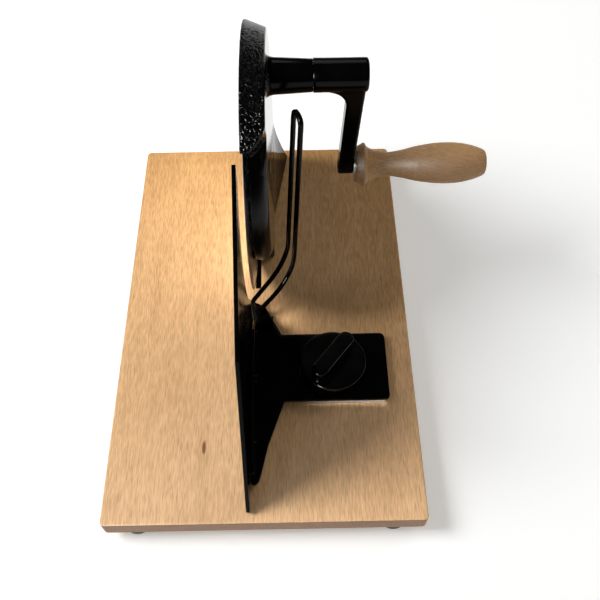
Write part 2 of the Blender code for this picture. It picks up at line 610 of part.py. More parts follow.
def rounded_path(corners, radii, steps=8):
    """A path through the corners, with each inner corner turned on an arc of its radius."""
    points = [Vector(corners[0])]
    for before, corner, after, radius in zip(corners, corners[1:], corners[2:], radii):
        corner = Vector(corner)
        back = (Vector(before) - corner).normalized()
        ahead = (Vector(after) - corner).normalized()
        half = back.angle(ahead) / 2
        reach = radius / tan(half)
        middle = corner + (back + ahead).normalized() * hypot(reach, radius)
        start, end = corner + back * reach - middle, corner + ahead * reach - middle
        points += [middle + start.slerp(end, i / steps).normalized() * radius for i in range(steps + 1)]
    return points + [Vector(corners[-1])]


def wire_path():
    """A hairpin: both ends lie on the bracket, and the loop stands beside the hood."""
    across = Vector((4.3, -10.4, 0))
    top = Vector((134.6, 201.0, 172.5))
    foot, knee = (99.6, 171.5, WIRE_Z), (127.6, 201.0, 23.1)
    other_foot, other_knee = (102.9, 160.5, WIRE_Z), (131.9, 190.6, 15.3)
    going_up = rounded_path([(103.6, 148.5, WIRE_Z), foot, knee, top], (5.0, 32.0))
    coming_down = rounded_path([top + across, other_knee, other_foot, (108.1, 148.5, WIRE_Z)], (32.0, 5.0))
    loop = []
    for i in range(1, 8):
        a = pi * i / 8
        loop.append(top + across * (1 - cos(a)) / 2 + Vector((0.3, 0, across.length / 2)) * sin(a))
    return going_up + loop + coming_down


def make_deflector(paint, fence):
    curve = bpy.data.curves.new("deflector_wire", "CURVE")
    curve.dimensions = "3D"
    curve.bevel_depth = WIRE_RADIUS * MM
    curve.bevel_resolution = 1
    curve.use_fill_caps = True
    points = wire_path()
    spline = curve.splines.new("POLY")
    spline.points.add(len(points) - 1)
    for place, point in zip(spline.points, points):
        place.co = (*(point * MM), 1.0)
    curve.materials.append(paint)
    wire = bpy.data.objects.new("deflector_wire", curve)
    wire.parent = fence
    bpy.context.collection.objects.link(wire)

    top = TONGUE_Z[1]
    bridge = WIRE_Z + WIRE_RADIUS + GAP
    clamp = solid("wire_clamp", box((101.2, 116.2), (148.2, 155.2), (bridge, bridge + 1.6)), paint, fence)
    lug = box((110.5, 116.2), (148.2, 155.2), (top + GAP, bridge + 1))
    boolean(clamp, "UNION", tool("add_clamp_lug", lug, fence))
    hole = rod(1.9, top - 1, bridge + 4, steps=16)
    boolean(clamp, "DIFFERENCE", tool("cut_clamp_hole", hole, fence, CLAMP_SCREW))
    head = [(top - 3, 0), (top - 3, 1.6), (bridge + 1.9, 1.6), (bridge + 1.9, 3.0), (bridge + 3.2, 2.6)]
    head += [(bridge + 3.6, 0)]
    solid("clamp_screw", turned(head, steps=20), paint, fence, CLAMP_SCREW)


# Thickness dial

def make_dial(plastic, steel, dial_axis):
    base = TONGUE_Z[1] + GAP
    skirt = [(base, 0), (base, DIAL_RADIUS - 0.8), (base + 0.8, DIAL_RADIUS), (DIAL_TOP_Z - 1.4, DIAL_RADIUS)]
    skirt += [(DIAL_TOP_Z - 0.4, DIAL_RADIUS - 0.5), (DIAL_TOP_Z, DIAL_RADIUS - 1.5), (DIAL_TOP_Z - 0.2, 0)]
    dial = solid("thickness_dial", turned(skirt, steps=48), plastic, dial_axis)
    half, radius = 15.5, 6.0
    bar = arc((half, 0), radius, -90, 90, 8) + arc((-half, 0), radius, 90, 270, 8)
    shrink = 0.86
    sections = [[(x, y, DIAL_TOP_Z - 3) for x, y in bar], [(x, y, DIAL_GRIP_Z - 1.2) for x, y in bar],
                [(x * shrink, y * shrink, DIAL_GRIP_Z) for x, y in bar]]
    grip = tool("add_dial_grip", loft(sections), dial_axis)
    grip.rotation_euler.z = DIAL_GRIP_TURN
    boolean(dial, "UNION", grip)
    boolean(dial, "DIFFERENCE", tool("cut_dial_bore", rod(STUD_RADIUS + GAP, 0, 14), dial_axis))

    low, high = TONGUE_Z
    teeth = prism_z(gear_outline(DIAL_TEETH, DIAL_MODULE, 0.42, 0.85, 1.2), low, high - 0.1)
    stud = solid("dial_pinion", teeth, steel, dial_axis)
    boolean(stud, "UNION", tool("add_stud", rod(STUD_RADIUS, -BOARD_THICK + 1.3, 13.6), dial_axis))
    floor = -BOARD_THICK + NEST_DEPTH - GAP
    solid("dial_washer", tube(STUD_RADIUS + GAP, 9.5, floor - 1.2, floor), steel, dial_axis)
    ring, rim = STUD_RADIUS + GAP, 9.0
    spring = [(floor - 3.3, ring), (floor - 2.4, ring), (floor - 1.5, rim), (floor - 2.4, rim)]
    solid("dial_spring", turned(spring, steps=24), steel, dial_axis)
    nut = solid("dial_nut", prism_z(hexagon(12), floor - 7.2, floor - 3.6), steel, dial_axis)
    boolean(nut, "DIFFERENCE", tool("cut_nut_bore", rod(STUD_RADIUS + GAP, floor - 9, floor), dial_axis))


def clear_scene():
    for old in list(bpy.data.objects):
        bpy.data.objects.remove(old, do_unlink=True)


def main():
    clear_scene()
    wood = material("oiled_beech", (0.66, 0.43, 0.22), 0.5)
    handle_wood = material("turned_beech", (0.64, 0.42, 0.25), 0.55)
    cast = material("black_crackle_paint", (0.012, 0.012, 0.013), 0.3)
    gloss = material("black_gloss_paint", (0.010, 0.010, 0.010), 0.25)
    steel = material("polished_steel", (0.75, 0.75, 0.76), 0.16, 1.0)
    zinc = material("zinc_plated_steel", (0.62, 0.63, 0.65), 0.3, 1.0)
    bronze = material("sintered_bronze", (0.55, 0.36, 0.18), 0.45, 1.0)
    nylon = material("white_nylon", (0.82, 0.81, 0.77), 0.5)
    plastic = material("black_plastic", (0.012, 0.012, 0.013), 0.35)
    rubber = material("black_rubber", (0.02, 0.02, 0.02), 0.8)

    overall_width = GRIP_X[1]
    datum = empty("datum", (-overall_width / 2, -BOARD_DEPTH / 2, BOARD_THICK + FOOT_HEIGHT))
    blade_axis = empty("blade_axis", (0, BLADE_Y, BLADE_Z), datum)
    crank_axis = empty("crank_axis", (0, BLADE_Y, CRANK_Z), datum)
    handle_axis = empty("handle_axis", (0, 0, -CRANK_LENGTH), crank_axis)
    fence = empty("fence_slide", (0, 0, 0), datum)
    dial_axis = empty("dial_axis", (DIAL_X, DIAL_Y, 0), datum)

    make_board(wood, datum)
    make_feet(rubber, zinc, datum)
    make_rail(zinc, datum)
    make_housing(cast, datum)
    make_housing_fittings(zinc, bronze, plastic, datum)
    make_blade(steel, nylon, blade_axis)
    make_crank(gloss, zinc, crank_axis)
    make_handle(handle_wood, zinc, crank_axis, handle_axis)
    make_fence(gloss, fence)
    make_deflector(gloss, fence)
    make_dial(plastic, zinc, dial_axis)


main()
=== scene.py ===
"""The looks of a hand-crank bread slicer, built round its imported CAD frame.

Every CAD node is shown by a finished piece of its own name with "_look" added. Castings,
stampings and moulded pieces are remeshed and smoothed, so that their edges are round. The
handle, the blade, the crank's bearing and the collar of its arm are turned from finer profiles.
"""

import json
from math import cos, pi, radians, sin, sqrt

import bmesh
import bpy
import numpy as np
from mathutils import Euler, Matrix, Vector


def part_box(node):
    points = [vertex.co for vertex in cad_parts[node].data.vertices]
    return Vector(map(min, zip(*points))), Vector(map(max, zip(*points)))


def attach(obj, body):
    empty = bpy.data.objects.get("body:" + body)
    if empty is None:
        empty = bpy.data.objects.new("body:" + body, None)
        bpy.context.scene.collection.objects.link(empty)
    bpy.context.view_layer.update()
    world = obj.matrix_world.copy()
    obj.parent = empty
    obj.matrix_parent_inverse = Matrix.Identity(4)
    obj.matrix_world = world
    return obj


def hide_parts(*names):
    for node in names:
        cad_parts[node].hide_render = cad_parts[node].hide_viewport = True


MM = 0.001

SHARP = radians(32)  # steeper edges are drawn sharp
SHARP_BESIDE_BEVEL = radians(45)
WELD = 0.004 * MM  # corners closer than this are joined
FLAT = radians(0.4)  # facets that meet at less than this are merged

# The casting, measured from the blade's axis
COLUMN_RADIUS = 73.0 * MM
COLUMN_ROUNDING = 8.0 * MM  # radius of the column's front right edge
ROUNDING_AT_TOP = (128, 142)  # it grows between these angles round the blade's axis, in degrees
ROUNDING_AT_FOOT = (244, 236)
RIM_STARTS = (78 * MM, 84 * MM)  # the crackle of the hood's rim fades in over these radii
BUSH_SUNK = 1.6 * MM  # the blade's bush ends this far inside the casting's right face

# The board
KNOT_PLACE = (0.305, 0.157)  # as shares of the board's width and length
KNOT_HALF = (1.1 * MM, 4.4 * MM)
# The slot inside which shade is painted: its half width and half length, and its middle's offset from the
# blade's axis
SLOT_HALF = (2.15 * MM, 50 * MM)
SLOT_FROM_BLADE = (0.6 * MM, 1.0 * MM)

# The camera that took the photo, from the front left corner of the board's top
CAMERA_PLACE = (0.1346, -0.1549, 0.4960)
CAMERA_TURN = (33.88, 0.41, -1.01)  # in degrees


# Materials

def shade(colour, share):
    return tuple(share * c for c in colour)


class Nodes:
    """A short way to add nodes to a node tree."""

    def __init__(self, tree):
        self.tree = tree

    def set(self, node, inputs):
        for key, value in inputs.items():
            if isinstance(value, bpy.types.NodeSocket):
                self.tree.links.new(value, node.inputs[key])
            else:
                node.inputs[key].default_value = value

    def add(self, kind, inputs, **settings):
        node = self.tree.nodes.new(kind)
        for key, value in settings.items():
            setattr(node, key, value)
        self.set(node, inputs)
        return node

    def math(self, operation, a, b):
        return self.add("ShaderNodeMath", {0: a, 1: b}, operation=operation).outputs[0]

    def spread(self, value, low, high, out_low=0.0, out_high=1.0):
        """Maps a value from one range to another, and clamps it."""
        made = self.add("ShaderNodeMapRange", {0: value, 1: low, 2: high, 3: out_low, 4: out_high})
        return made.outputs[0]

    def mix(self, share, a, b, blend="MIX"):
        made = self.add("ShaderNodeMix", {0: share}, data_type="RGBA", blend_type=blend)
        for socket, value in ((made.inputs[6], a), (made.inputs[7], b)):
            if isinstance(value, bpy.types.NodeSocket):
                self.tree.links.new(value, socket)
            else:
                socket.default_value = (*value, 1.0)
        return made.outputs[2]


class Paint(Nodes):
    """A material with a Principled BSDF, and the patterns that colour it."""

    def __init__(self, name, metallic=0.0, specular=0.5):
        self.material = bpy.data.materials.new(name)
        self.material.use_nodes = True
        super().__init__(self.material.node_tree)
        self.shader = self.tree.nodes["Principled BSDF"]
        self.set(self.shader, {"Metallic": metallic, "Specular IOR Level": specular})

    def place(self, stretch=(1, 1, 1), shift=(0, 0, 0)):
        """The point's place in the row frame, times stretch, plus shift."""
        coordinates = self.add("ShaderNodeTexCoord", {})
        scaled = self.add("ShaderNodeMapping", {0: coordinates.outputs["Object"], "Location": shift,
                                                "Scale": stretch})
        return scaled.outputs[0]

    def component(self, vector, axis):
        """One component, X, Y or Z, of a vector."""
        return self.add("ShaderNodeSeparateXYZ", {0: vector}).outputs[axis]

    def length(self, vector):
        return self.add("ShaderNodeVectorMath", {0: vector}, operation="LENGTH").outputs["Value"]

    def from_axis(self, point):
        """The distance from the line along X through a point."""
        return self.length(self.place((0, 1, 1), (0, -point[1], -point[2])))

    def facing(self, axis):
        """How squarely the surface faces along an axis: 1 face on, 0 edge on."""
        normal = self.add("ShaderNodeNewGeometry", {}).outputs["Normal"]
        return self.math("ABSOLUTE", self.component(normal, axis), 0)

    def noise(self, place, scale, detail=2.0, distortion=0.0, roughness=0.5):
        made = self.add("ShaderNodeTexNoise", {"Vector": place, "Scale": scale, "Detail": detail,
                                               "Distortion": distortion, "Roughness": roughness})
        return made.outputs["Fac"]

    def level(self, noise, low=0.0, high=1.0):
        """Maps a noise, which stays mostly between 0.3 and 0.7, to a range."""
        return self.spread(noise, 0.3, 0.7, low, high)

    def bump(self, height, distance, strength):
        inputs = {"Height": height, "Distance": distance, "Strength": strength}
        return self.add("ShaderNodeBump", inputs).outputs[0]

    def finish(self, **inputs):
        self.set(self.shader, {key.replace("_", " "): value for key, value in inputs.items()})
        return self.material


def beech_grain(paint, along, light, dark):
    """Beech with its grain along one axis. Gives its colour, its fibres and its short dark flecks."""

    def stretched(share):
        return paint.place(tuple(share if axis == along else 1.0 for axis in "XYZ"))

    broad = paint.noise(stretched(0.3), scale=24, detail=3, distortion=0.8)
    bands = paint.noise(stretched(0.09), scale=110, detail=3, distortion=0.5)
    fibres = paint.noise(stretched(0.07), scale=1800, detail=1, distortion=0.4)
    tone = paint.math("ADD", paint.level(broad, 0.05, 0.6), paint.level(bands, -0.16, 0.16))
    tone = paint.math("ADD", tone, paint.level(fibres, -0.75, 0.8))
    colour = paint.mix(paint.spread(tone, -0.6, 1.6), shade(light, 1.1), shade(dark, 0.86))

    cells = paint.add("ShaderNodeTexVoronoi", {"Vector": stretched(0.08), "Scale": 1000})
    near = paint.spread(cells.outputs["Distance"], 0.4, 0.1)
    chosen = paint.spread(cells.outputs["Color"], 0.35, 0.75)
    flecks = paint.math("MULTIPLY", near, chosen)
    colour = paint.mix(paint.math("MULTIPLY", flecks, 0.6), colour, (0.4, 0.19, 0.07))
    return colour, fibres, flecks


def finish_beech(paint, colour, fibres, flecks):
    """Fibres stand up a little from the wood, and flecks are sunk in it."""
    raised = paint.math("MULTIPLY", fibres, 0.6)
    height = paint.math("SUBTRACT", raised, paint.math("MULTIPLY", flecks, 0.5))
    return paint.finish(Base_Color=colour, Roughness=paint.level(fibres, 0.42, 0.6),
                        Normal=paint.bump(height, distance=0.12 * MM, strength=0.5))


def turned_beech():
    """The handle's beech. Its colours are darker than the board's, partly for the wood's own tone and
    partly as painted shade, since the handle lies in the housing's shadow.
    """
    paint = Paint("turned_beech", specular=0.3)
    # darker than the board's beech: part of this darkening is painted shade
    return finish_beech(paint, *beech_grain(paint, "X", (0.62, 0.37, 0.18), (0.45, 0.25, 0.11)))


def oiled_beech(knot, slot_mouth):
    """The board's beech, given the places of its knot and of the middle of the slot's mouth. It carries
    painted light and shade: a paler front, a darker back and ends, and a nearly black slot.
    """
    paint = Paint("oiled_beech", specular=0.3)
    dark = (0.66, 0.37, 0.16)
    colour, fibres, flecks = beech_grain(paint, "Y", (0.86, 0.55, 0.28), dark)
    # painted light and shade: paler front, darker back, darkened end faces
    colour = paint_board_light_and_shade(paint, colour)
    colour = add_knot(paint, colour, dark, fibres, knot)
    # painted shade: the inside of the slot is painted nearly black
    colour = paint.mix(slot_shade_mask(paint, slot_mouth), colour, (0.012, 0.006, 0.003))
    return finish_beech(paint, colour, fibres, flecks)


def paint_board_light_and_shade(paint, colour):
    """Painted light and shade on the board: the front is painted paler, as if lit more, and the back
    darker and warmer, as if in shade. The end faces are darkened, partly for end grain's own darker tone
    and partly as painted shade.
    """
    to_back = paint.spread(paint.component(paint.place(), "Y"), -0.17, 0.17)
    # painted light at the front, brighter than the wood's own colour, and painted shade at the back
    painted_light_tint = paint.mix(to_back, (1.18, 1.22, 1.36), (0.78, 0.70, 0.55))
    colour = paint.mix(1.0, colour, painted_light_tint, "MULTIPLY")
    # partly end grain's own darker tone, partly painted shade on the board's front and back faces
    end_grain_and_shade = paint.mix(1.0, colour, (0.45, 0.40, 0.42), "MULTIPLY")
    return paint.mix(paint.spread(paint.facing("Y"), 0.7, 0.9), colour, end_grain_and_shade)


def add_knot(paint, colour, dark, fibres, knot):
    """A small brown knot with a ragged edge, in a faint stain."""
    stretch = [1 / half for half in KNOT_HALF]
    shift = [-place / half for place, half in zip(knot, KNOT_HALF)]
    reach = paint.length(paint.place((*stretch, 0), (*shift, 0)))
    reach = paint.math("ADD", reach, paint.level(fibres, -0.25, 0.25))
    colour = paint.mix(paint.spread(reach, 5.0, 1.2, 0.0, 0.3), colour, dark)
    return paint.mix(paint.spread(reach, 1.35, 0.75, 0.0, 0.9), colour, (0.19, 0.045, 0.004))


def slot_shade_mask(paint, mouth):
    """Where shade is painted in the slot: 1 below the mouth of the sawn slot and 0 elsewhere."""
    place = paint.place()
    inside = paint.spread(paint.component(place, "Z"), mouth.z - 0.6 * MM, mouth.z - 2.2 * MM)
    for axis, middle, half in zip("XY", mouth, SLOT_HALF):
        aside = paint.math("SUBTRACT", paint.component(place, axis), middle)
        aside = paint.math("ABSOLUTE", aside, 0)
        within = paint.spread(aside, half + 0.4 * MM, half + 0.1 * MM)
        inside = paint.math("MULTIPLY", inside, within)
    return inside


def crackle_black(blade_axis):
    """The casting's black paint: glossy on its right face, satin on the column's front.

    On the hood's rim the paint has shrunk into fine, worm-like ridges.
    """
    paint = Paint("crackle_black", specular=0.22)
    place = paint.place()
    reach = paint.from_axis(blade_axis)
    edge = paint.spread(paint.facing("X"), 0.92, 0.6)
    rim = paint.math("MULTIPLY", edge, paint.spread(reach, *RIM_STARTS, 0.08, 1.0))
    worms = paint.math("SUBTRACT", paint.noise(place, scale=480, detail=0.0, distortion=0.6), 0.5)
    ridge = paint.spread(paint.math("ABSOLUTE", worms, 0), 0.15, 0.0)
    ridge = paint.math("MULTIPLY", ridge, rim)
    peel = paint.math("MULTIPLY", paint.noise(place, scale=160), 0.08)
    height = paint.math("ADD", ridge, peel)
    colour = paint.mix(ridge, (0.0012, 0.0012, 0.0014), (0.0022, 0.0022, 0.0024))
    roughness = paint.math("MAXIMUM", paint.math("MULTIPLY", edge, 0.3), 0.07)
    roughness = paint.math("MINIMUM", roughness, paint.spread(reach, *RIM_STARTS, 0.3, 0.15))
    return paint.finish(Base_Color=colour, Roughness=roughness,
                        Normal=paint.bump(height, distance=0.32 * MM, strength=1.0))


def gloss_black(name, roughness, specular):
    """Smooth black paint or plastic with a little orange peel."""
    paint = Paint(name, specular=specular)
    place = paint.place()
    peel = paint.noise(place, scale=260)
    wear = paint.noise(place, scale=60, detail=4)
    worn = paint.spread(wear, 0.35, 0.7)
    colour = paint.mix(worn, (0.0011, 0.0011, 0.0012), (0.0022, 0.0022, 0.0024))
    return paint.finish(Base_Color=colour,
                        Roughness=paint.level(wear, roughness * 0.8, roughness * 1.3),
                        Normal=paint.bump(peel, distance=0.08 * MM, strength=0.3))


def turned_steel(name, colour, roughness, axis=None):
    """Steel. With an axis, a point in the row frame, the marks run round it in the Y-Z plane."""
    paint = Paint(name, metallic=1.0)
    if axis:
        line = paint.add("ShaderNodeCombineXYZ", {0: paint.from_axis(axis)})
        marks = paint.noise(line.outputs[0], scale=5200, detail=3, roughness=0.7)
    else:
        marks = paint.noise(paint.place((1, 1, 0.2)), scale=900, detail=3)
    cloud = paint.noise(paint.place(), scale=45, detail=3)
    tone = paint.math("MULTIPLY", paint.level(marks), cloud)
    return paint.finish(Base_Color=paint.mix(tone, colour, shade(colour, 0.8)),
                        Roughness=paint.level(marks, roughness * 0.8, roughness * 1.5),
                        Normal=paint.bump(marks, distance=0.02 * MM, strength=0.4))


def moulded(name, colour, roughness, scale, depth):
    """Rubber, nylon or sintered bronze: an even colour with cloudy tone and a fine skin."""
    paint = Paint(name)
    place = paint.place()
    skin = paint.noise(place, scale, detail=3)
    cloud = paint.noise(place, scale=70, detail=3)
    tone = paint.spread(cloud, 0.35, 0.7)
    return paint.finish(Base_Color=paint.mix(tone, colour, shade(colour, 0.78)),
                        Roughness=paint.level(cloud, roughness * 0.9, roughness * 1.15),
                        Normal=paint.bump(skin, depth, strength=0.6))


# Pieces

def box_of(node):
    """A CAD node's low corner, high corner and middle."""
    low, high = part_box(node)
    return low, high, (low + high) / 2


def nodes_named(start):
    return [node for node in frame["nodes"] if node.startswith(start)]


def shade_smooth(mesh, sharp=SHARP):
    mesh.shade_smooth()
    mesh.set_sharp_from_angle(angle=sharp)


def to_mesh(shape, name):
    mesh = bpy.data.meshes.new(name)
    shape.to_mesh(mesh)
    shape.free()
    shade_smooth(mesh)
    return mesh


def place_piece(name, shape, material, node):
    """Adds a shape as a look of a CAD node: it rides on the node's body and stands for the node."""
    mesh = to_mesh(shape, name)
    mesh.materials.append(material)
    piece = bpy.data.objects.new(f"{name}_look", mesh)
    bpy.context.scene.collection.objects.link(piece)
    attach(piece, BODY_OF[node])
    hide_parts(node)
    return piece


def node_piece(node, material):
    """The node's own mesh as a piece, with its facets' corners joined and its flat facets merged."""
    shape = bmesh.new()
    shape.from_mesh(frame["nodes"][node].data)
    bmesh.ops.remove_doubles(shape, verts=shape.verts, dist=WELD)
    bmesh.ops.dissolve_limit(shape, angle_limit=FLAT, verts=shape.verts, edges=shape.edges)
    return place_piece(node, shape, material, node)


def apply_modifiers(piece):
    """Replaces the piece's mesh with what its modifiers make of it."""
    bpy.context.view_layer.update()
    graph = bpy.context.evaluated_depsgraph_get()
    made = bpy.data.meshes.new_from_object(piece.evaluated_get(graph), depsgraph=graph)
    old = piece.data
    piece.modifiers.clear()
    piece.data = made
    bpy.data.meshes.remove(old)


def cut_from(piece, shape):
    """Cuts a closed shape out of a piece."""
    bmesh.ops.recalc_face_normals(shape, faces=shape.faces)
    cutter = bpy.data.objects.new("cutter", to_mesh(shape, "cutter"))
    bpy.context.scene.collection.objects.link(cutter)
    step = piece.modifiers.new("cut", "BOOLEAN")
    step.operation = "DIFFERENCE"
    step.solver = "EXACT"
    step.object = cutter
    apply_modifiers(piece)
    bpy.data.objects.remove(cutter, do_unlink=True)
    shade_smooth(piece.data)


def bevel_edges(piece, width):
    step = piece.modifiers.new("edges", "BEVEL")
    step.width = width
    step.segments = 2
    step.limit_method = "ANGLE"
    step.angle_limit = SHARP
    step.use_clamp_overlap = True
    apply_modifiers(piece)
    shade_smooth(piece.data, SHARP_BESIDE_BEVEL)


def crisp(node, material, bevel=0.0, cut=None):
    """A node with its edges kept sharp, or broken by a small bevel. A shape may be cut out of it."""
    piece = node_piece(node, material)
    if cut is not None:
        cut_from(piece, cut)
    if bevel:
        bevel_edges(piece, bevel)
    flatten = piece.modifiers.new("flat_faces", "WEIGHTED_NORMAL")
    flatten.keep_sharp = True
    apply_modifiers(piece)


def smooth_out(piece, rounds):
    smooth = piece.modifiers.new("smooth", "SMOOTH")
    smooth.factor = 0.5
    smooth.iterations = rounds
    apply_modifiers(piece)
    piece.data.shade_smooth()


def soft(node, material, voxel, rounds):
    """A node remeshed and smoothed, so that all of its edges are rounded like a casting's."""
    piece = node_piece(node, material)
    remesh = piece.modifiers.new("remesh", "REMESH")
    remesh.mode = "VOXEL"
    remesh.voxel_size = voxel * MM
    remesh.use_smooth_shade = True
    smooth_out(piece, rounds)
    return piece


def lathe(points, centre, steps):
    """A closed body of revolution about X. Points are (x, radius), from one end to the other."""
    shape = bmesh.new()
    rings = []
    for x, radius in points:
        count = steps if radius > 0 else 1
        ring = []
        for i in range(count):
            turn = 2 * pi * i / steps
            y, z = centre[1] + radius * cos(turn), centre[2] + radius * sin(turn)
            ring.append(shape.verts.new((x, y, z)))
        rings.append(ring)
    pairs = list(zip(rings, rings[1:]))
    if len(rings[0]) > 1:
        pairs.append((rings[-1], rings[0]))
    for low, high in pairs:
        for i in range(steps):
            j = (i + 1) % steps
            corners = (low[i % len(low)], low[j % len(low)], high[j % len(high)], high[i % len(high)])
            shape.faces.new(dict.fromkeys(corners))
    bmesh.ops.recalc_face_normals(shape, faces=shape.faces)
    return shape


def from_x(start, profile):
    """A profile's (x, radius) points in millimetres, as metres from a start along X."""
    return [(start + x * MM, radius * MM) for x, radius in profile]


def curve_through(points, steps):
    """A smooth line through the points (Catmull-Rom), with steps parts between each two."""

    def between(a, b, c, d, t):
        square = 2 * a - 5 * b + 4 * c - d
        cube = 3 * b - a - 3 * c + d
        return 0.5 * (2 * b + (c - a) * t + square * t * t + cube * t ** 3)

    padded = [points[0], *points, points[-1]]
    line = []
    for four in zip(padded, padded[1:], padded[2:], padded[3:]):
        for i in range(steps):
            line.append(tuple(between(*values, i / steps) for values in zip(*four)))
    return line + [points[-1]]


def rod(radius, low, high, centre, steps=32):
    """A closed cylinder along X."""
    return lathe([(low, 0), (low, radius), (high, radius), (high, 0)], centre, steps)


def prism(outline, centre, low, high, axis):
    """A closed prism along X or Z. The outline's points are in millimetres from the centre."""
    shape = bmesh.new()
    rings = []
    for along in (low, high):
        ring = []
        for a, b in outline:
            if axis == "X":
                corner = (along, centre[1] + a * MM, centre[2] + b * MM)
            else:
                corner = (centre[0] + a * MM, centre[1] + b * MM, along)
            ring.append(shape.verts.new(corner))
        rings.append(ring)
    for i in range(len(outline)):
        j = (i + 1) % len(outline)
        shape.faces.new((rings[0][i], rings[0][j], rings[1][j], rings[1][i]))
    shape.faces.new(rings[0])
    shape.faces.new(rings[1])
    return shape


def hexagon(across_flats):
    corner = across_flats / sqrt(3)
    return [(corner * cos(pi / 3 * i), corner * sin(pi / 3 * i)) for i in range(6)]


def plus_sign(size):
    half, arm = size / 2, size / 7
    return [(arm, -half), (arm, -arm), (half, -arm), (half, arm), (arm, arm), (arm, half),
            (-arm, half), (-arm, arm), (-half, arm), (-half, -arm), (-arm, -arm), (-arm, -half)]


# The object

def casting_right():
    """Where the casting's right face is, along X."""
    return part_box("blade_bush")[1].x + BUSH_SUNK


def ramp(values, start, end):
    """0 before the start, 1 after the end, and even between them."""
    return np.clip((values - start) / (end - start), 0, 1)


def round_column(points):
    """Gives the casting's column a large radius along its front right edge.

    Points are rows of x, y and z. The radius fades out at the column's top and at its foot.
    """
    axis = box_of("blade_disc")[2]
    right = casting_right()
    x, y, z = points[:, 0], points[:, 1] - axis.y, points[:, 2] - axis.z
    reach = np.hypot(y, z)
    angle = np.degrees(np.arctan2(z, y)) % 360
    radius = COLUMN_ROUNDING * (ramp(angle, *ROUNDING_AT_TOP) * ramp(angle, *ROUNDING_AT_FOOT))
    across, out = x - (right - radius), reach - (COLUMN_RADIUS - radius)
    skin = 0.6 * MM
    near_edge = (across > 0) & (out > 0) & (reach < COLUMN_RADIUS + skin) & (x < right + skin)
    corner = near_edge & (radius > 0.01 * MM)
    away = np.hypot(across, out)
    pull = np.where(corner & (away > radius), radius / np.maximum(away, 1e-9), 1.0)
    new_reach = np.where(corner, (COLUMN_RADIUS - radius) + out * pull, reach)
    share = new_reach / np.maximum(reach, 1e-9)
    new_x = np.where(corner, (right - radius) + across * pull, x)
    return np.stack([new_x, axis.y + y * share, axis.z + z * share], axis=1)


def make_housing(material):
    piece = soft("housing", material, voxel=0.8, rounds=5)
    points = np.zeros(len(piece.data.vertices) * 3, np.float32)
    piece.data.vertices.foreach_get("co", points)
    moved = round_column(points.reshape(-1, 3).astype(float))
    piece.data.vertices.foreach_set("co", moved.astype(np.float32).ravel())
    piece.data.update()
    smooth_out(piece, rounds=3)


def make_crank_bearing(material):
    """The crank's bearing boss and the arm's collar, turned, over the ends of the remeshed castings."""
    _, bush_end, axis = box_of("crank_bush_outer")
    wall = casting_right()
    end = bush_end.x + 0.5 * MM
    bore = 6.45 * MM
    boss = from_x(wall, [(0.5, 13.45), (1.4, 12.9), (2.4, 12.45), (5.0, 11.95)])
    boss += from_x(end, [(-0.6, 10.62), (-0.2, 10.5), (0, 10.2)])
    boss += [(end, bore), (wall + 0.5 * MM, bore)]
    place_piece("crank_bearing", lathe(boss, axis, 96), material, "housing")

    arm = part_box("crank_arm")[0].x
    collar = from_x(arm, [(0, 10.8), (0.1, 10.95), (0.3, 11.03), (6, 11.03), (6, 5.0), (0, 5.0)])
    place_piece("crank_collar", lathe(collar, axis, 96), material, "crank_arm")


def make_handle(material):
    """The grip: a flange at the crank, a neck, a belly and a rounded end with a nest for the bolt."""
    low, high, axis = box_of("handle_grip")
    left, right = low.x, high.x
    flange = [(0, 12.6), (0.2, 12.9), (2.6, 14.3), (4.9, 15.6), (5.5, 15.98), (6.3, 15.98),
              (6.9, 15.6), (7.5, 14.4)]
    neck = [(8.4, 13.2), (10.5, 11.9), (14, 10.2), (18, 9.15), (22.5, 8.75), (28, 9.2)]
    belly = [(35.4, 10.5), (42.9, 12.4), (50.4, 13.7), (58, 14.7), (65.5, 15.1), (73, 14.95),
             (80.5, 14.0), (88, 12.2), (92.9, 10.4)]
    end = [(93.6, 10.1), (95.2, 9.1), (95.8, 8.6), (96.1, 8.0)]
    bore, nest, depth = 3.4 * MM, 6.2 * MM, 9 * MM
    outline = from_x(left, flange) + curve_through(from_x(left, neck + belly), 6) + from_x(left, end)
    outline += [(right, nest + 0.3 * MM), (right - 0.5 * MM, nest), (right - depth, nest)]
    outline += [(right - depth, bore), (left, bore)]
    place_piece("handle_grip", lathe(outline, axis, 96), material, "handle_grip")


def make_blade(material):
    """The disc: flat on its left face, and ground from its right face to the edge in a hollow curve."""
    low, high, axis = box_of("blade_disc")
    left, right = low.x, high.x
    radius = (high.y - low.y) / 2
    bore, rivet_hole = 3.3 * MM, 2.3 * MM
    outline = [(left, bore), (left, radius - 1.2 * MM), (left + 0.12 * MM, radius - 0.15 * MM)]
    outline += [(left + 0.2 * MM, radius), (left + 0.3 * MM, radius - 0.15 * MM)]
    grind_steps = 8
    for i in range(grind_steps + 1):
        share = i / grind_steps
        outline.append((left + (0.34 + 1.16 * share ** 0.8) * MM, radius - (0.4 + 8.6 * share) * MM))
    outline.append((right, bore))
    piece = place_piece("blade_disc", lathe(outline, axis, 240), material, "blade_disc")
    for rivet in nodes_named("blade_rivet"):
        middle = box_of(rivet)[2]
        cut_from(piece, rod(rivet_hole, left - 2 * MM, right + 2 * MM, middle))


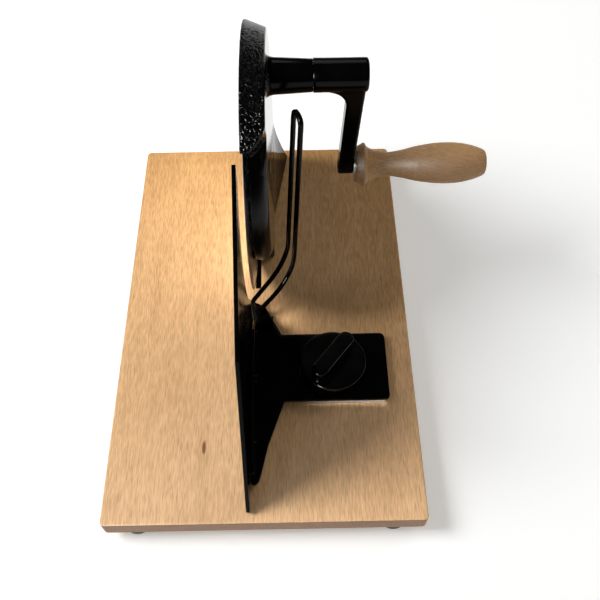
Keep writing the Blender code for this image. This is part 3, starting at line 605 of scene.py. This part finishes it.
def make_fasteners(zinc, gloss):
    """Screws and bolts, with the drives that a hand tool needs."""
    for node in nodes_named("foot_screw"):
        low, _, middle = box_of(node)
        cross = prism(plus_sign(4.4), middle, low.z - MM, low.z + 1.6 * MM, "Z")
        crisp(node, zinc, cut=cross)
    for node, material in (("rail_screw_1", zinc), ("rail_screw_2", zinc), ("clamp_screw", gloss)):
        _, high, middle = box_of(node)
        cross = prism(plus_sign(3.8), middle, high.z - 1.2 * MM, high.z + MM, "Z")
        crisp(node, material, cut=cross)
    for node in nodes_named("housing_bolt"):
        low, _, middle = box_of(node)
        socket = prism(hexagon(4.0), middle, low.z - MM, low.z + 2.6 * MM, "Z")
        crisp(node, zinc, cut=socket)
    for node, across_flats in (("handle_bolt", 5.0), ("crank_screw", 4.0)):
        _, high, middle = box_of(node)
        socket = prism(hexagon(across_flats), middle, high.x - 2.4 * MM, high.x + MM, "X")
        crisp(node, zinc, cut=socket)


def make_wood(blade_axis):
    """The board and the handle."""
    low, high, _ = box_of("base_board")
    size = high - low
    knot = (low.x + KNOT_PLACE[0] * size.x, low.y + KNOT_PLACE[1] * size.y)
    slot_mouth = Vector((blade_axis[0] + SLOT_FROM_BLADE[0], blade_axis[1] + SLOT_FROM_BLADE[1], high.z))
    crisp("base_board", oiled_beech(knot, slot_mouth))
    make_handle(turned_beech())


def make_black_pieces(blade_axis, gloss):
    """The painted, moulded and rubber pieces."""
    plastic = gloss_black("black_plastic", roughness=0.15, specular=0.25)
    plate_paint = gloss_black("plate_black", roughness=0.1, specular=0.06)
    rubber = moulded("black_rubber", (0.018, 0.018, 0.018), roughness=0.75, scale=900, depth=0.1 * MM)
    make_housing(crackle_black(blade_axis))
    make_crank_bearing(gloss)
    soft("crank_arm", gloss, voxel=0.5, rounds=4)
    soft("fence_bracket", gloss, voxel=0.55, rounds=4)
    soft("deflector_wire", gloss, voxel=0.32, rounds=3)
    soft("wire_clamp", gloss, voxel=0.3, rounds=2)
    soft("thickness_dial", plastic, voxel=0.36, rounds=3)
    for node in nodes_named("rubber_foot"):
        soft(node, rubber, voxel=0.45, rounds=2)
    crisp("fence_plate", plate_paint, bevel=0.7 * MM)
    crisp("axle_cap", plastic)
    for node in nodes_named("fence_rivet"):
        crisp(node, gloss)


def make_plain_pieces(blade_axis, zinc):
    """The steel, bronze and nylon pieces that no tool drives."""
    polished = turned_steel("polished_steel", (0.80, 0.80, 0.81), roughness=0.14, axis=blade_axis)
    bronze = moulded("bearing_bronze", (0.50, 0.31, 0.14), roughness=0.5, scale=1500, depth=0.04 * MM)
    nylon = moulded("white_nylon", (0.80, 0.79, 0.74), roughness=0.5, scale=700, depth=0.04 * MM)
    make_blade(polished)
    for node in ("crank_bush_inner", "crank_bush_outer", "blade_bush"):
        crisp(node, bronze)
    crisp("blade_gear", nylon)
    crisp("slide_rail", zinc, bevel=0.3 * MM)
    steel = ["blade_axle", "blade_screw", "crank_pinion", "crank_shaft", "dial_nut", "dial_pinion",
             "dial_spring", "dial_washer", "handle_washer", "pinion_washer"]
    for node in steel + nodes_named("blade_rivet") + nodes_named("housing_washer"):
        crisp(node, zinc)


def make_object():
    blade_axis = tuple(box_of("blade_disc")[2])
    gloss = gloss_black("gloss_black", roughness=0.12, specular=0.1)
    zinc = turned_steel("zinc_steel", (0.58, 0.59, 0.61), roughness=0.4)
    make_wood(blade_axis)
    make_black_pieces(blade_axis, gloss)
    make_plain_pieces(blade_axis, zinc)
    make_fasteners(zinc, gloss)


# Stage

def add_light(name, turn, rise, distance, size, power, seen_by):
    """A round soft light over the board, seen by diffuse surfaces alone or by glossy ones alone.

    Turn is its angle round from +X and rise its angle above the floor, both in degrees.
    """
    turn, rise = radians(turn), radians(rise)
    away = Vector((cos(rise) * cos(turn), cos(rise) * sin(turn), sin(rise)))
    light = bpy.data.lights.new(name, "AREA")
    light.shape = "DISK"
    light.size = size
    light.energy = power
    light.color = (1.0, 0.98, 0.95)
    lamp = bpy.data.objects.new(name, light)
    lamp.location = away * distance + Vector((0, 0, 0.05))
    lamp.rotation_euler = away.to_track_quat("Z", "Y").to_euler()
    lamp.visible_diffuse = seen_by == "diffuse"
    lamp.visible_glossy = seen_by == "glossy"
    bpy.context.scene.collection.objects.link(lamp)


def make_world():
    """A dim warm sky. Glossy surfaces see it nearly dark, and the camera sees it bright and white."""
    world = bpy.data.worlds.new("studio")
    world.use_nodes = True
    nodes = Nodes(world.node_tree)
    rays = nodes.add("ShaderNodeLightPath", {}).outputs
    colour = nodes.mix(rays["Is Camera Ray"], (1.0, 0.95, 0.82), (1.0, 1.0, 1.0))
    strength = nodes.spread(rays["Is Glossy Ray"], 0, 1, 0.18, 0.03)
    strength = nodes.spread(rays["Is Camera Ray"], 0, 1, strength, 0.9)
    nodes.set(nodes.tree.nodes["Background"], {"Color": colour, "Strength": strength})
    bpy.context.scene.world = world


def make_floor():
    """Pale paper. The camera and glossy surfaces see it a little brighter than it is lit."""
    paint = Paint("pale_paper", specular=0.1)
    grain = paint.noise(paint.place(), scale=300, detail=3)
    colour = paint.mix(paint.level(grain), (0.88, 0.90, 0.93), (0.86, 0.88, 0.91))
    rays = paint.add("ShaderNodeLightPath", {}).outputs
    seen = paint.math("MAXIMUM", rays["Is Camera Ray"], rays["Is Glossy Ray"])
    glow = paint.math("MULTIPLY", seen, 0.31)
    paper = paint.finish(Base_Color=colour, Roughness=0.8, Emission_Color=(1, 1, 1, 1),
                         Emission_Strength=glow)
    shape = bmesh.new()
    bmesh.ops.create_grid(shape, x_segments=1, y_segments=1, size=3.0)
    floor = bpy.data.objects.new("floor", to_mesh(shape, "floor"))
    floor.data.materials.append(paper)
    bpy.context.scene.collection.objects.link(floor)


def make_camera():
    lens = bpy.data.cameras.new("camera")
    lens.lens = 45.0
    lens.sensor_width = 36.0
    camera = bpy.data.objects.new("camera", lens)
    low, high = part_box("base_board")
    camera.location = Vector((low.x, low.y, high.z)) + Vector(CAMERA_PLACE)
    camera.rotation_euler = Euler([radians(turn) for turn in CAMERA_TURN])
    bpy.context.scene.collection.objects.link(camera)
    bpy.context.scene.camera = camera


def make_stage():
    make_world()
    make_floor()
    add_light("key", turn=177, rise=43, distance=2.8, size=1.4, power=75.0, seen_by="diffuse")
    add_light("right", turn=40, rise=38, distance=2.2, size=0.9, power=6.5, seen_by="diffuse")
    add_light("glint", turn=226, rise=32, distance=1.5, size=0.7, power=120.0, seen_by="glossy")
    add_light("sheen", turn=95, rise=45, distance=1.6, size=0.8, power=2.0, seen_by="glossy")
    make_camera()
    view = bpy.context.scene.view_settings
    view.view_transform = "Standard"
    view.look = "None"


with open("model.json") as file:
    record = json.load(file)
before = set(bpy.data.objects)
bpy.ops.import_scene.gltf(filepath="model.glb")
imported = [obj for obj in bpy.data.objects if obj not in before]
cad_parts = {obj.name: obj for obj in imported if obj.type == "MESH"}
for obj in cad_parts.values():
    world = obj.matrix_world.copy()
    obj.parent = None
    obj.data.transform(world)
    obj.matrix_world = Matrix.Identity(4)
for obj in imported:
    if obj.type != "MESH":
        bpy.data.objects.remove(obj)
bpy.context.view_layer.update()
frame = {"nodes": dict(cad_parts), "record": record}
BODY_OF = {node: body for body, nodes in frame["record"]["behaviour"]["bodies"].items() for node in nodes}
make_object()
make_stage()
